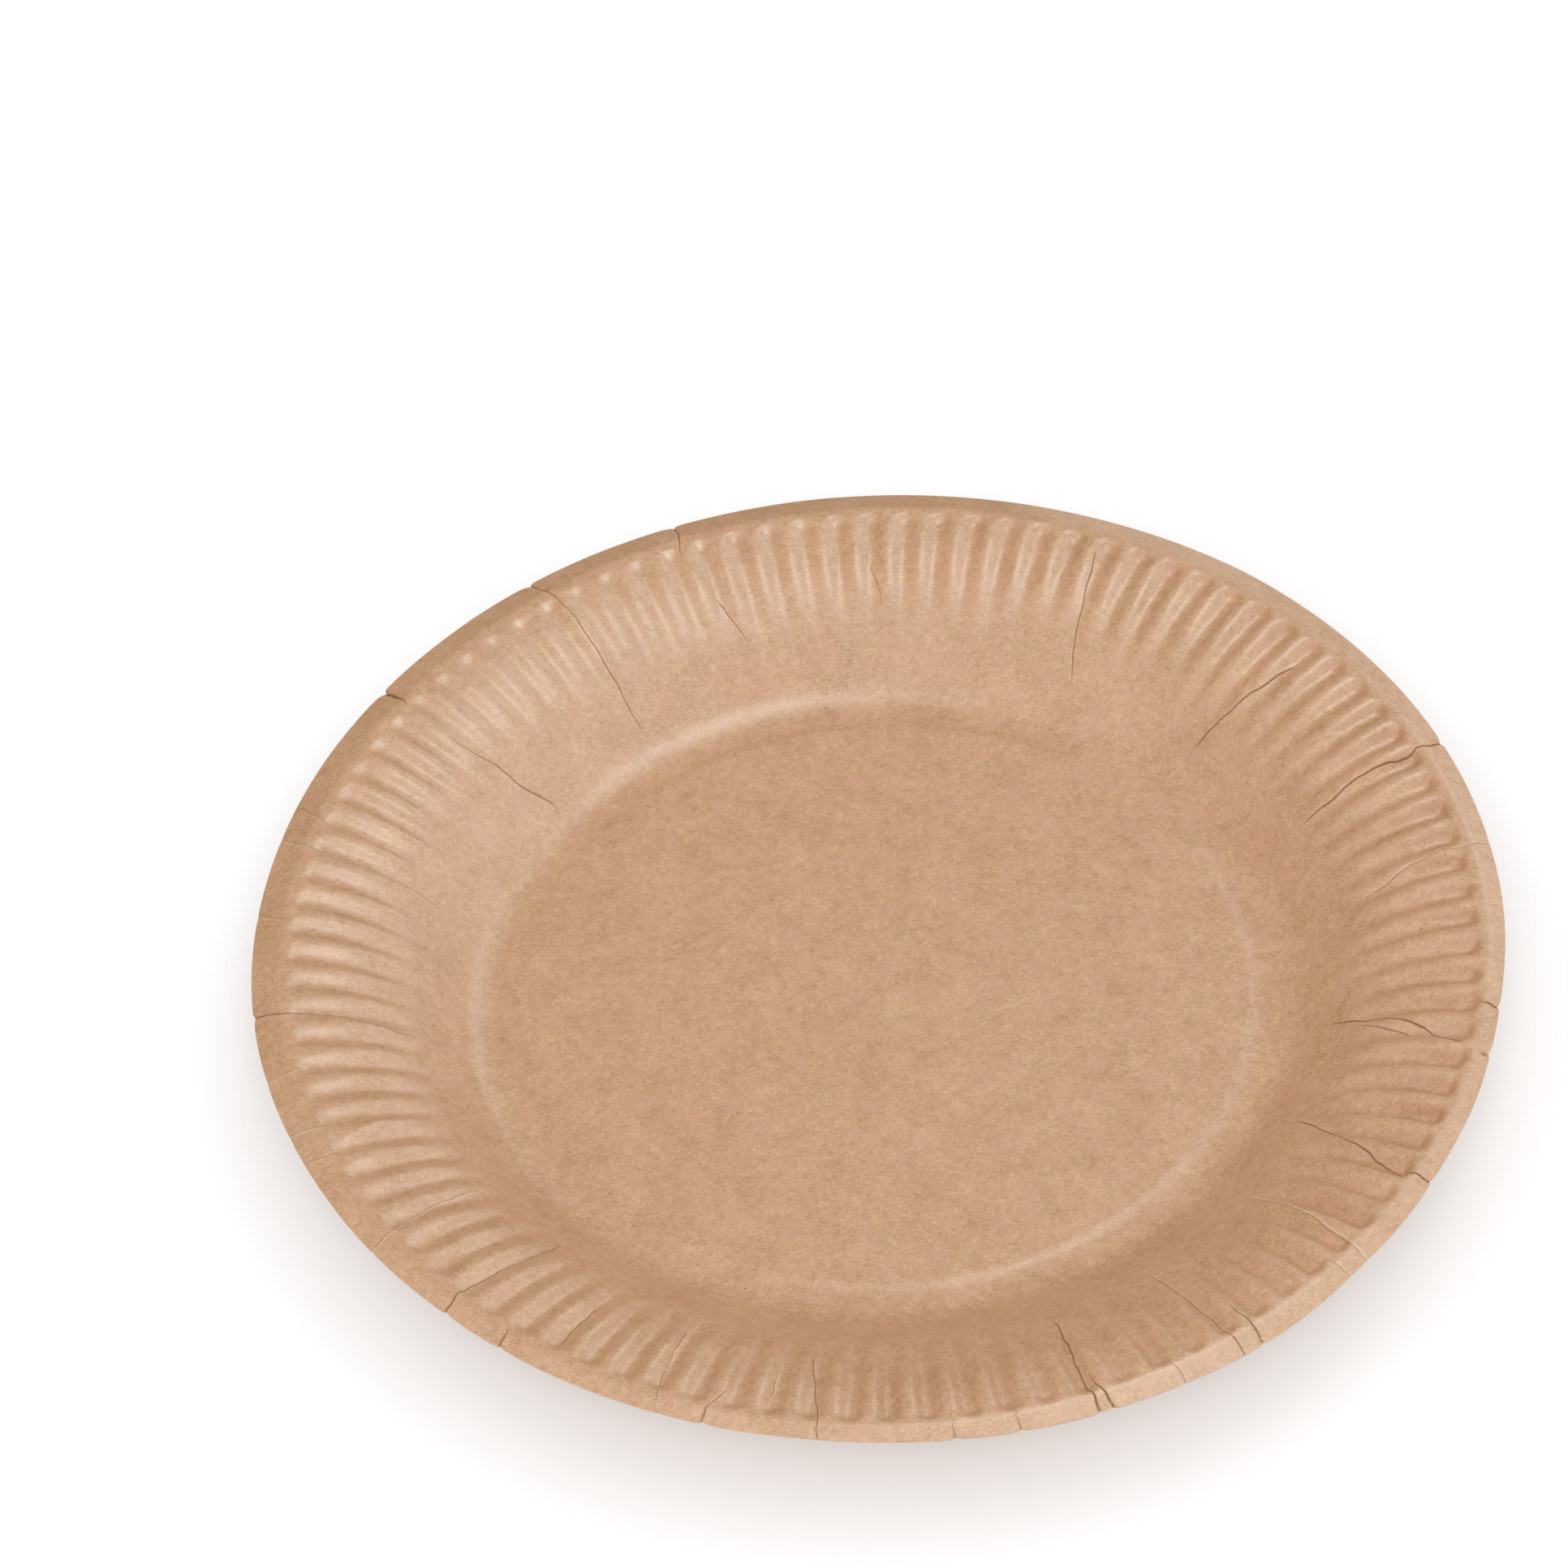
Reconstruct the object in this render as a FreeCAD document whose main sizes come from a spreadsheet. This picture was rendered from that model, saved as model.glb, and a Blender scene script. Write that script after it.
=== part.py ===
import FreeCAD, Part
import math
import os
import Sketcher
from FreeCAD import Units, Vector

# A round paper plate pressed from one sheet of board, in millimetres.
# It stands on the XY plane, eating side up, with its axis on the Z axis.
# From the middle outward it has a flat centre, a small step down to the foot
# ring it stands on, a hollow corner, a plain wall, a ring of flutes that gather
# the surplus board, a flat crest and a lip folded down to the edge.

os.makedirs("parts", exist_ok=True)
doc = FreeCAD.newDocument("paper_plate")

# Driving sizes: alias, value, meaning
SIZES = [
    ("rim_diameter", 230, "across the edge of the lip"),
    ("plate_height", 18.5, "table to the top of the crest"),
    ("board", 0.45, "thickness of the board, the same everywhere"),
    ("lip_width", 6, "from the crest to the edge of the lip, seen from above"),
    ("lip_angle", 22, "fall of the lip below level, degrees"),
    ("crest_width", 2.2, "flat crest outside the ends of the ridges"),
    ("flute_count", 100, "flutes round the plate"),
    ("flute_length", 21.3, "length of a ridge, seen from above"),
    ("flute_depth", 1.4, "depth of a flute at its outer end"),
    ("flute_swell", 1.7, "how far the floor of a flute sags below the ridge on the way"),
    ("flute_end", 1.3, "run of the steep end that closes a flute"),
    ("ridge_angle", 5, "rise of a ridge where it reaches the crest, degrees"),
    ("shoulder_width", 10.7, "from the ends of the ridges in to the shoulder"),
    ("wall_angle", 38, "rise of the plain wall above level, degrees"),
    ("corner_radius", 10, "hollow corner between the foot and the wall"),
    ("foot_width", 1.8, "flat of the foot ring"),
    ("step_width", 0.8, "run of the step between the centre and the foot"),
    ("step_height", 0.4, "rise of the centre above the foot"),
]

# Sizes that follow from them, worked out in the same sheet
DERIVED = [
    ("lip_start", "=rim_diameter / 2 - lip_width", "radius of the fold into the lip"),
    ("ridge_end", "=lip_start - crest_width", "radius where the ridges reach the crest"),
    ("flute_start", "=ridge_end - flute_length", "radius where the flutes begin"),
    ("shoulder", "=ridge_end - shoulder_width", "radius of the shoulder"),
    ("knee", "=plate_height - shoulder_width * tan(ridge_angle * 1deg)", "its height"),
    ("wall_slope", "=tan(wall_angle * 1deg)", "slope of the plain wall"),
    ("corner", "=shoulder - (knee - board) / wall_slope", "where the wall would meet the foot"),
    ("foot_end", "=corner - corner_radius * tan(wall_angle * 0.5deg)", "outside of the foot flat"),
    ("foot_start", "=foot_end - foot_width", "inside of the foot flat"),
    ("centre_end", "=foot_start - step_width", "radius of the flat centre"),
    ("wall_top", "=board + (flute_start - corner) * wall_slope", "height of the wall's top"),
    ("board_upright", "=board / cos(wall_angle * 1deg)", "board of the wall, measured upright"),
    ("step_mitre", "=board * tan(atan(step_height / step_width) / 2)", "shift of the lower step"),
]

sheet = doc.addObject("Spreadsheet::Sheet", "Sizes")
for row, (alias, value, meaning) in enumerate(SIZES + DERIVED, start=1):
    sheet.set("A%d" % row, meaning)
    sheet.set("B%d" % row, str(value))
    sheet.setAlias("B%d" % row, alias)
doc.recompute()


def size(alias):
    """Value of a named cell as a plain number."""
    return float(sheet.get(alias))


START, END, CENTRE = 1, 2, 3
ORIGIN = (-1, 1)
UPRIGHT_AXIS = -2


def section_body(name):
    """New body with an empty sketch on its upright XZ plane; returns both."""
    body = doc.addObject("PartDesign::Body", name)
    sketch = body.newObject("Sketcher::SketchObject", name + "_section")
    planes = {feature.Role: feature for feature in body.Origin.OriginFeatures}
    sketch.AttachmentSupport = [(planes["XZ_Plane"], "")]
    sketch.MapMode = "FlatFace"
    return body, sketch


def line(sketch, start, end):
    """Straight edge of a section between two (radius, height) points."""
    return sketch.addGeometry(Part.LineSegment(Vector(*start), Vector(*end)))


def arc(sketch, centre, radius, first, last):
    """Arc of a section, counter-clockwise between two angles in degrees."""
    circle = Part.Circle(Vector(*centre), Vector(0, 0, 1), radius)
    return sketch.addGeometry(Part.ArcOfCircle(circle, math.radians(first), math.radians(last)))


def tie(sketch, kind, *where):
    """Constraint that carries no size."""
    sketch.addConstraint(Sketcher.Constraint(kind, *where))


def join(sketch, *edges):
    """Ties the end of each edge to the start of the next."""
    for edge, following in zip(edges, edges[1:]):
        tie(sketch, "Coincident", edge, END, following, START)


def measure(sketch, kind, formula, *where):
    """Constraint whose size is bound to the sheet."""
    value = Units.Quantity(sketch.evalExpression(formula))
    if kind == "Angle":
        value = value.getValueAs("rad")
    index = sketch.addConstraint(Sketcher.Constraint(kind, *where, float(value)))
    sketch.setExpression("Constraints[%d]" % index, formula)


def place(sketch, edge, end, across=None, up=None):
    """Radius and height of an edge's end, measured from the origin."""
    if across:
        measure(sketch, "DistanceX", across, *ORIGIN, edge, end)
    if up:
        measure(sketch, "DistanceY", up, *ORIGIN, edge, end)


def revolve(body, sketch):
    """Full turn of a section about the plate's axis."""
    turn = body.newObject("PartDesign::Revolution", body.Name + "_turn")
    turn.Profile = sketch
    turn.ReferenceAxis = (sketch, ["V_Axis"])
    turn.Angle = 360


board = size("board")
height = size("plate_height")
flute_start = size("flute_start")
wall_top = size("wall_top")
upright = size("board_upright")
lip_start = size("lip_start")

# Dish: flat centre, step, foot ring, hollow corner and plain wall
dish, section = section_body("dish")
rise = math.radians(size("wall_angle"))
hollow = size("corner_radius")
lift = size("step_height")
mitre = size("step_mitre")
foot_end, foot_start, centre_end = size("foot_end"), size("foot_start"), size("centre_end")


def corner_end(radius):
    """Point where the hollow corner, at this radius, runs into the wall."""
    return (foot_end + radius * math.sin(rise), board + hollow - radius * math.cos(rise))


hub = (foot_end, board + hollow)
turn = (-90, -90 + size("wall_angle"))
axis = line(section, (0, lift), (0, lift + board))
centre_face = line(section, (0, lift + board), (centre_end, lift + board))
step_face = line(section, (centre_end, lift + board), (foot_start, board))
foot_face = line(section, (foot_start, board), (foot_end, board))
corner_face = arc(section, hub, hollow, *turn)
wall_face = line(section, corner_end(hollow), (flute_start, wall_top))
cut = line(section, (flute_start, wall_top), (flute_start, wall_top - upright))
wall_under = line(section, (flute_start, wall_top - upright), corner_end(hollow + board))
corner_under = arc(section, hub, hollow + board, *turn)
foot_under = line(section, (foot_end, 0), (foot_start - mitre, 0))
step_under = line(section, (foot_start - mitre, 0), (centre_end - mitre, lift))
centre_under = line(section, (centre_end - mitre, lift), (0, lift))

join(section, foot_under, step_under, centre_under, axis, centre_face, step_face, foot_face)
join(section, wall_face, cut, wall_under)
tie(section, "Tangent", foot_face, END, corner_face, START)
tie(section, "Tangent", corner_face, END, wall_face, START)
tie(section, "Tangent", wall_under, END, corner_under, END)
tie(section, "Tangent", corner_under, START, foot_under, START)
tie(section, "Coincident", corner_face, CENTRE, corner_under, CENTRE)
tie(section, "PointOnObject", axis, START, UPRIGHT_AXIS)
for edge in (centre_face, foot_face, foot_under, centre_under):
    tie(section, "Horizontal", edge)
for edge in (axis, cut):
    tie(section, "Vertical", edge)
place(section, axis, START, up="Sizes.step_height")
place(section, axis, END, up="Sizes.step_height + Sizes.board")
place(section, centre_face, END, across="Sizes.centre_end")
place(section, foot_face, START, across="Sizes.foot_start", up="Sizes.board")
place(section, foot_face, END, across="Sizes.foot_end")
place(section, foot_under, END, across="Sizes.foot_start - Sizes.step_mitre")
place(section, step_under, END, across="Sizes.centre_end - Sizes.step_mitre")
place(section, cut, START, across="Sizes.flute_start", up="Sizes.wall_top")
measure(section, "DistanceY", "Sizes.board_upright", cut, END, cut, START)
measure(section, "Radius", "Sizes.corner_radius", corner_face)
measure(section, "Radius", "Sizes.corner_radius + Sizes.board", corner_under)
revolve(dish, section)

# Lip: folded down from the crest, its edge cut square to the board
lip, section = section_body("lip")
fall = math.radians(size("lip_angle"))
rim = size("rim_diameter") / 2
fold_under = lip_start - board * math.tan(fall / 2)
edge_face = (rim, height - (rim - lip_start) * math.tan(fall))
edge_under = (rim - board * math.sin(fall), edge_face[1] - board * math.cos(fall))
lip_face = line(section, (lip_start, height), edge_face)
edge = line(section, edge_face, edge_under)
lip_under = line(section, edge_under, (fold_under, height - board))
fold = line(section, (fold_under, height - board), (lip_start, height))

join(section, lip_face, edge, lip_under, fold, lip_face)
tie(section, "Perpendicular", lip_face, edge)
tie(section, "Parallel", lip_face, lip_under)
place(section, lip_face, START, across="Sizes.lip_start", up="Sizes.plate_height")
place(section, lip_under, END, up="Sizes.plate_height - Sizes.board")
place(section, edge, START, across="Sizes.rim_diameter / 2")
measure(section, "Distance", "Sizes.board", edge)
measure(section, "Angle", "Sizes.lip_angle * 1deg", lip_face, START, -1, START)
revolve(lip, section)
doc.recompute()

# Flutes: between two ridges the board is pressed down into a V that begins at
# the wall, deepens outward and is closed by a steep end just inside the crest.
# A ridge and a floor are parabolas in upright planes through the axis. Each has
# three (radius, height) poles: at the wall, at the shoulder and at the crest.
count = round(size("flute_count"))
half = math.pi / count
depth = size("flute_depth")
ridge_end = size("ridge_end")
shoulder, knee = size("shoulder"), size("knee")
floor_knee = knee - size("flute_swell")
floor_end = ridge_end + size("flute_end")
ridge = [(flute_start, wall_top), (shoulder, knee), (ridge_end, height)]
floor = [(flute_start, wall_top), (shoulder, floor_knee), (ridge_end, height - depth)]

# The underside lies one board lower, more where the board leans
flank_lean = math.hypot(1, depth / (ridge_end * math.sin(half)))
floor_drop = board * flank_lean
knee_drop = (upright + floor_drop) / 2
end_lean = math.atan2(depth, size("flute_end"))
floor_end_under = floor_end + board * math.tan(end_lean / 2)
ridge_under = [
    (flute_start, wall_top - upright),
    (shoulder, knee - knee_drop),
    (ridge_end, height - board),
]
floor_under = [
    (flute_start, wall_top - upright),
    (shoulder, floor_knee - knee_drop),
    (ridge_end, height - depth - floor_drop),
]


def spot(radius, level, angle):
    """Point at a radius, a height and an angle round the axis in radians."""
    return Vector(radius * math.cos(angle), radius * math.sin(angle), level)


def flank(ridge_line, floor_line, side):
    """One side of the flute at angle 0, from a ridge down to the floor.

    Its inner end is a true arc, to meet the wall; its outer end is straight.
    """
    bulge = math.cos(half / 2)
    on_ridge = [spot(radius, level, side * half) for radius, level in ridge_line]
    on_floor = [spot(radius, level, 0) for radius, level in floor_line]
    between = []
    for (radius, level), (_, floor_level) in zip(ridge_line[:2], floor_line[:2]):
        between.append(spot(radius / bulge, (level + floor_level) / 2, side * half / 2))
    between.append((on_ridge[2] + on_floor[2]) / 2)
    poles = [on_ridge, between, on_floor]
    weights = [[1] * 3, [bulge] * 3, [1] * 3]
    ends = [3, 3]
    surface = Part.BSplineSurface()
    surface.buildFromPolesMultsKnots(
        poles, ends, ends, [0, 1], [0, 1], False, False, 2, 2, weights
    )
    return surface.toShape()


def flute(ridge_line, floor_line, tip_radius):
    """Both flanks of the flute at angle 0 and the steep end that closes it."""
    faces = []
    bottom = spot(*floor_line[2], 0)
    tip = spot(tip_radius, ridge_line[2][1], 0)
    for side in (-1, 1):
        top = spot(*ridge_line[2], side * half)
        faces.append(flank(ridge_line, floor_line, side))
        faces.append(Part.Face(Part.makePolygon([top, bottom, tip, top])))
    return faces


def crest(level, tip_radius, outer_radius):
    """Flat ring outside the ridges, notched where each flute ends."""
    corners = []
    for index in range(count):
        corners.append(spot(ridge_end, level, (2 * index - 1) * half))
        corners.append(spot(tip_radius, level, 2 * index * half))
    notches = Part.makePolygon(corners + corners[:1])
    outline = Part.Wire(Part.makeCircle(outer_radius, Vector(0, 0, level)))
    return Part.makeFace([outline, notches], "Part::FaceMakerBullseye")


flute_faces = flute(ridge, floor, floor_end) + flute(ridge_under, floor_under, floor_end_under)
skin = [crest(height, floor_end, lip_start), crest(height - board, floor_end_under, fold_under)]
for index in range(count):
    for face in flute_faces:
        skin.append(face.rotated(Vector(), Vector(0, 0, 1), math.degrees(2 * index * half)))

# Dish and lip give all their faces but the two cuts where they meet the flutes
for face in dish.Shape.Faces:
    if min(vertex.X for vertex in face.Vertexes) < flute_start - 0.01:
        skin.append(face)
for face in lip.Shape.Faces:
    if max(vertex.X for vertex in face.Vertexes) > lip_start + 0.01:
        skin.append(face)

# The plate: one closed skin of board
closed = Part.makeCompound(skin)
closed.sewShape()
plate = doc.addObject("Part::Feature", "plate")
plate.Label = "plate"
plate.Shape = Part.Solid(closed.Shells[0])
doc.recompute()

for item in doc.Objects:
    if "Invalid" in item.State or "Error" in item.State:
        raise RuntimeError("%s could not be built" % item.Label)
if plate.Shape.isNull() or not plate.Shape.isValid() or len(closed.Shells) != 1:
    raise RuntimeError("the plate is not one closed solid")
if not 0 < plate.Shape.Volume < math.pi * rim ** 2 * height:
    raise RuntimeError("the plate's volume is wrong")
plate.Shape.exportStep("parts/plate.step")
print("foot ring radius %.2f to %.2f" % (foot_start, foot_end))
print("centre radius %.2f, wall starts at %.2f" % (centre_end, size("corner")))
print("volume %.0f cubic mm" % plate.Shape.Volume)
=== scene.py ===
"""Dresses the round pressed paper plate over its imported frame.

The plate is one sheet of unbleached brown board, pressed into a flat centre, a small step, a
hollow corner, a wall, a ring of flutes and a lip that folds down. All sizes on the plate are in
millimetres and become metres when its mesh is written. A radius is a distance from its axis, and
an azimuth an angle round it in degrees.
"""

from __future__ import annotations

import logging
import math
from dataclasses import dataclass, field
from enum import Enum

import bpy
import numpy as np
from mathutils import Matrix, Vector

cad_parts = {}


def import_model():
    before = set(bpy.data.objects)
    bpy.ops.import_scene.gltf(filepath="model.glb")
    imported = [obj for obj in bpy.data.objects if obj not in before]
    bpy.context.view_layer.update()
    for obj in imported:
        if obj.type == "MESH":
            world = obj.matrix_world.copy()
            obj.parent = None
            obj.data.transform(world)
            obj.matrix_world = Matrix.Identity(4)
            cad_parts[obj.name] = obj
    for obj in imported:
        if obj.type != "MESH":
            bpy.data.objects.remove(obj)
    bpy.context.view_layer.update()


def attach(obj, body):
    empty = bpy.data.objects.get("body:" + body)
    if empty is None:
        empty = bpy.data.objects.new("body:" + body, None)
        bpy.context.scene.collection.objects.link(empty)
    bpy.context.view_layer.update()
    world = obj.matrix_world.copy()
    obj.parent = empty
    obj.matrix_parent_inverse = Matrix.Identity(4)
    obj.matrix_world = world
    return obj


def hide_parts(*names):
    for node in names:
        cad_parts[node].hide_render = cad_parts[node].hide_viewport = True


log = logging.getLogger("paper_plate")
MM = 0.001
ON_LINE = 0.02  # a point as near as this lies on a crease
TINY = 1e-6  # keeps the knots of an interpolation apart
Array = np.ndarray
Socket = bpy.types.NodeSocket
Pair = tuple[float, float]
Pairs = tuple[Pair, ...]
Triple = tuple[float, float, float]


class Face(Enum):
    """The two faces of the board."""

    EATING = 1
    UNDER = -1


class Mark(Enum):
    """Ways in which the board gave way in the press."""

    FOLD = "a groove beside a step, with one side standing over the other"
    BUCKLE = "a soft swelling with no sharp edge"


class Shine(Enum):
    """Kinds of lamp, with their colours: one the gloss doesn't show, one that only it shows."""

    MATT = (1.0, 1.0, 1.0)
    GLOSS = (0.72, 0.90, 1.0)


def ease(share: Array) -> Array:
    """An S-curve from 0 to 1: the share squared, times three less twice the share."""
    return share * share * (3 - 2 * share)


def bell(off: Array, width: float | Array) -> Array:
    """A bell curve: one over e to the square of the distance over the width."""
    return np.exp(-((off / width) ** 2))


@dataclass(frozen=True)
class Section:
    """Sizes of the plate's upright section, as the frame has them."""

    height: float = 18.5
    board: float = 0.45
    lip_start: float = 109.0
    lip_angle: float = 22.0
    fold_blend: float = 0.55
    ridge_end: float = 106.8
    flute_start: float = 85.5
    wall_top: float = 9.282
    ridge_knee: float = 17.564
    wall_angle: float = 38.0
    corner_radius: float = 10.0
    foot_end: float = 70.75
    foot_start: float = 68.9
    centre_end: float = 66.0
    step_height: float = 0.34

    def dish(self, radius: Array) -> Array:
        """Height of the eating side from the middle to the top of the plain wall.

        The step is a cubic S-curve, the corner a circle's arc (radius less the root of radius
        squared less run squared) and the wall a straight line at the wall angle.

        Args:
            radius: the radii.

        Returns:
            Heights above the table.
        """
        lean = math.radians(self.wall_angle)
        across = np.clip((radius - self.centre_end) / (self.foot_start - self.centre_end), 0, 1)
        step = self.step_height * (1 - ease(across))
        reach = self.corner_radius * math.sin(lean)
        run = np.clip(radius - self.foot_end, 0, reach)
        corner = self.corner_radius - np.sqrt(self.corner_radius**2 - run * run)
        wall = np.clip(radius - self.foot_end - reach, 0, None) * math.tan(lean)
        return self.board + step + corner + wall

    def crown(self, radius: Array) -> Array:
        """Height along the tops of the ridges, over the crest and down the lip.

        A parabola with its three poles at the wall's top, the knee and the crest, then level, then
        a straight fall. The fold is rounded by a short parabola that meets both straight parts.

        Args:
            radius: the radii.

        Returns:
            Heights above the table.
        """
        along = np.clip((radius - self.flute_start) / (self.ridge_end - self.flute_start), 0, 1)
        rise = (
            (1 - along) ** 2 * self.wall_top
            + 2 * along * (1 - along) * self.ridge_knee
            + along**2 * self.height
        )
        beyond = radius - self.lip_start
        blend = self.fold_blend
        bend = np.clip(beyond + blend, 0, 2 * blend) ** 2 / (4 * blend)
        fall = np.where(beyond > blend, beyond, bend)
        return rise - fall * math.tan(math.radians(self.lip_angle))

    def crowned(self, radius: Array) -> Array:
        """Height of the eating side with no flutes: the dish, then the crown."""
        return np.where(radius < self.flute_start, self.dish(radius), self.crown(radius))


def around(knots: Pairs, azimuth: Array) -> Array:
    """A number that changes smoothly round the plate.

    Between two knots the share of the later one is an S-curve of the way between them.

    Args:
        knots: (azimuth in degrees, value), ascending.
        azimuth: angles in degrees.

    Returns:
        The value at each angle.
    """
    place, value = np.array([*knots, (knots[0][0] + 360.0, knots[0][1])], float).T
    turn = (azimuth - place[0]) % 360.0 + place[0]
    index = np.clip(np.searchsorted(place, turn, side="right") - 1, 0, len(place) - 2)
    share = ease((turn - place[index]) / (place[index + 1] - place[index]))
    return value[index] * (1 - share) + value[index + 1] * share


@dataclass(frozen=True)
class Flutes:
    """The ring of troughs that gathers the surplus board of the rim.

    Reach, vigour and fullness say how the troughs' outer ends, depths and bellies change round the
    plate. Each glint, a painted highlight, is a bell, given by the squares of its half width and
    half length.
    """

    count: int = 100
    start: float = 84.6
    end: float = 106.0
    close: float = 2.3
    centre: Pair = (-0.40, -1.84)
    reach: Pairs = (
        (0, -0.45), (30, 0.3), (45, 0.5), (60, 0.35), (90, -0.4), (120, -0.9), (135, -0.85),
        (150, -0.2), (180, 0.0), (225, -0.2), (270, 0.4), (285, 0.75), (300, 0.55), (330, 0.15),
        (345, 0.0),
    )
    depth: float = 1.4
    swell: float = 1.7
    vigour: Pairs = (
        (0, 1.8), (30, 1.5), (60, 1.08), (90, 0.78), (120, 0.45), (150, 0.5), (180, 0.44),
        (210, 0.57), (240, 0.9), (270, 0.95), (300, 1.0), (330, 1.9),
    )
    fullness: Pairs = (
        (0, 0.6), (30, 0.5), (60, 0.5), (90, 0.85), (120, 1.0), (150, 1.6), (180, 1.5),
        (210, 1.2), (240, 1.2), (270, 1.3), (300, 1.4), (330, 0.9),
    )
    floor_share: float = 0.02
    wall_share: float = 0.93
    unevenness: float = 0.12
    most_uneven: float = 1.8
    sway: float = 0.03
    stagger: float = 0.9
    dimple_radius: float = 83.4
    dimple_depth: float = 0.09
    dimple_size: float = 0.55
    # painted highlights: glints at the troughs' outer ends and dimples, brightest on the side
    # turned to this azimuth
    glint_azimuth: float = 140.0
    glint_shares: Pair = (0.25, 0.95)
    glint_mean: float = 0.7
    glint_spread: float = 0.4
    glint_range: Pair = (0.1, 1.4)
    glint_outer: float = 0.42
    glint_beyond: float = 0.9
    glint_wide: float = 0.32
    glint_long: float = 0.3
    glint_inner: float = 0.32
    glint_small: float = 0.16
    seed: int = 41

    @property
    def pitch(self) -> float:
        """Degrees from one trough to the next."""
        return 360.0 / self.count

    def nearest(self, radius: Array, azimuth: Array) -> tuple[Array, Array]:
        """Finds the trough nearest to each place.

        The troughs point at the centre of the fluting tool, which met the blank a little off its
        middle.

        Args:
            radius: radii, as an array of rings by meridians.
            azimuth: azimuths in the same shape.

        Returns:
            The trough's index, and the place across it: 0 on its middle and 1 on a ridge.
        """
        turn = np.radians(azimuth)
        east = radius * np.cos(turn) - self.centre[0]
        north = radius * np.sin(turn) - self.centre[1]
        bearing = np.degrees(np.arctan2(north, east)) % 360.0
        number = np.round(bearing / self.pitch)
        return number.astype(int) % self.count, (bearing / self.pitch - number) * 2

    def beyond(self, radius: Array, azimuth: Array) -> Array:
        """Distance past the trough's outer end, negative before it."""
        return radius - self.end - around(self.reach, azimuth)

    def relief(self, radius: Array, azimuth: Array) -> Array:
        """How far the board lies below the ridge tops.

        Across a trough its walls are half a cosine wave between a narrow floor and the rounded
        ridge. The outer end is round: past it, the distance across and the distance beyond the end
        add up as the two sides of a right angle do. Along a trough the depth is a parabola. A small
        dimple of the press marks its inner end. Each trough is a little deeper, longer or farther
        round than the next.

        Args:
            radius: radii, as an array of rings by meridians.
            azimuth: azimuths in the same shape.

        Returns:
            Depths, 0 on the ridge tops.
        """
        index, across = self.nearest(radius, azimuth)
        draw = np.random.default_rng(self.seed)
        most = self.most_uneven
        own = 1 + self.unevenness * np.clip(draw.standard_normal(self.count), -most, most)
        sway = self.sway * draw.uniform(-1.0, 1.0, self.count)
        start = self.start + self.stagger * draw.uniform(-1.0, 1.0, self.count)
        across = across + sway[index]
        beyond = np.clip(self.beyond(radius, azimuth), 0, None) / self.close
        off = np.clip(np.hypot(across, beyond), 0, 1)
        wall = np.clip((off - self.floor_share) / (self.wall_share - self.floor_share), 0, 1)
        shape = 0.5 + 0.5 * np.cos(np.pi * wall)
        along = np.clip((radius - start[index]) / (self.end - start[index]), 0, 1)
        swell = self.swell * around(self.fullness, azimuth)
        depth = 2 * along * (1 - along) * swell + along**2 * self.depth
        side = np.radians(across * self.pitch / 2) * radius
        spot = np.exp(-(side**2 + (radius - self.dimple_radius) ** 2) / self.dimple_size**2)
        pressed = depth * shape * own[index] * around(self.vigour, azimuth)
        return pressed + self.dimple_depth * spot

    def glints(self, radius: Array, azimuth: Array) -> Array:
        """Painted highlights: glints at the outer end of each trough and on its dimple, brightest
        round one azimuth.
        """
        index, across = self.nearest(radius, azimuth)
        side = np.radians(across * self.pitch / 2) * radius
        draw = np.random.default_rng(self.seed + 1)
        own = self.glint_mean + self.glint_spread * draw.standard_normal(self.count)
        least, more = self.glint_shares
        # the painted glints fade away from the side where the lamps' reflection falls
        turned = np.cos(np.radians(azimuth - self.glint_azimuth))
        lit_share = np.clip(least + more * turned, 0.0, 1.0) * np.clip(own, *self.glint_range)[index]
        end = self.beyond(radius, azimuth) - self.glint_beyond
        outer = np.exp(-(side**2 / self.glint_wide + end**2 / self.glint_long))
        inner = np.exp(-(side**2 + (radius - self.dimple_radius) ** 2) / self.glint_small)
        return lit_share * (self.glint_outer * outer + self.glint_inner * inner)


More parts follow.
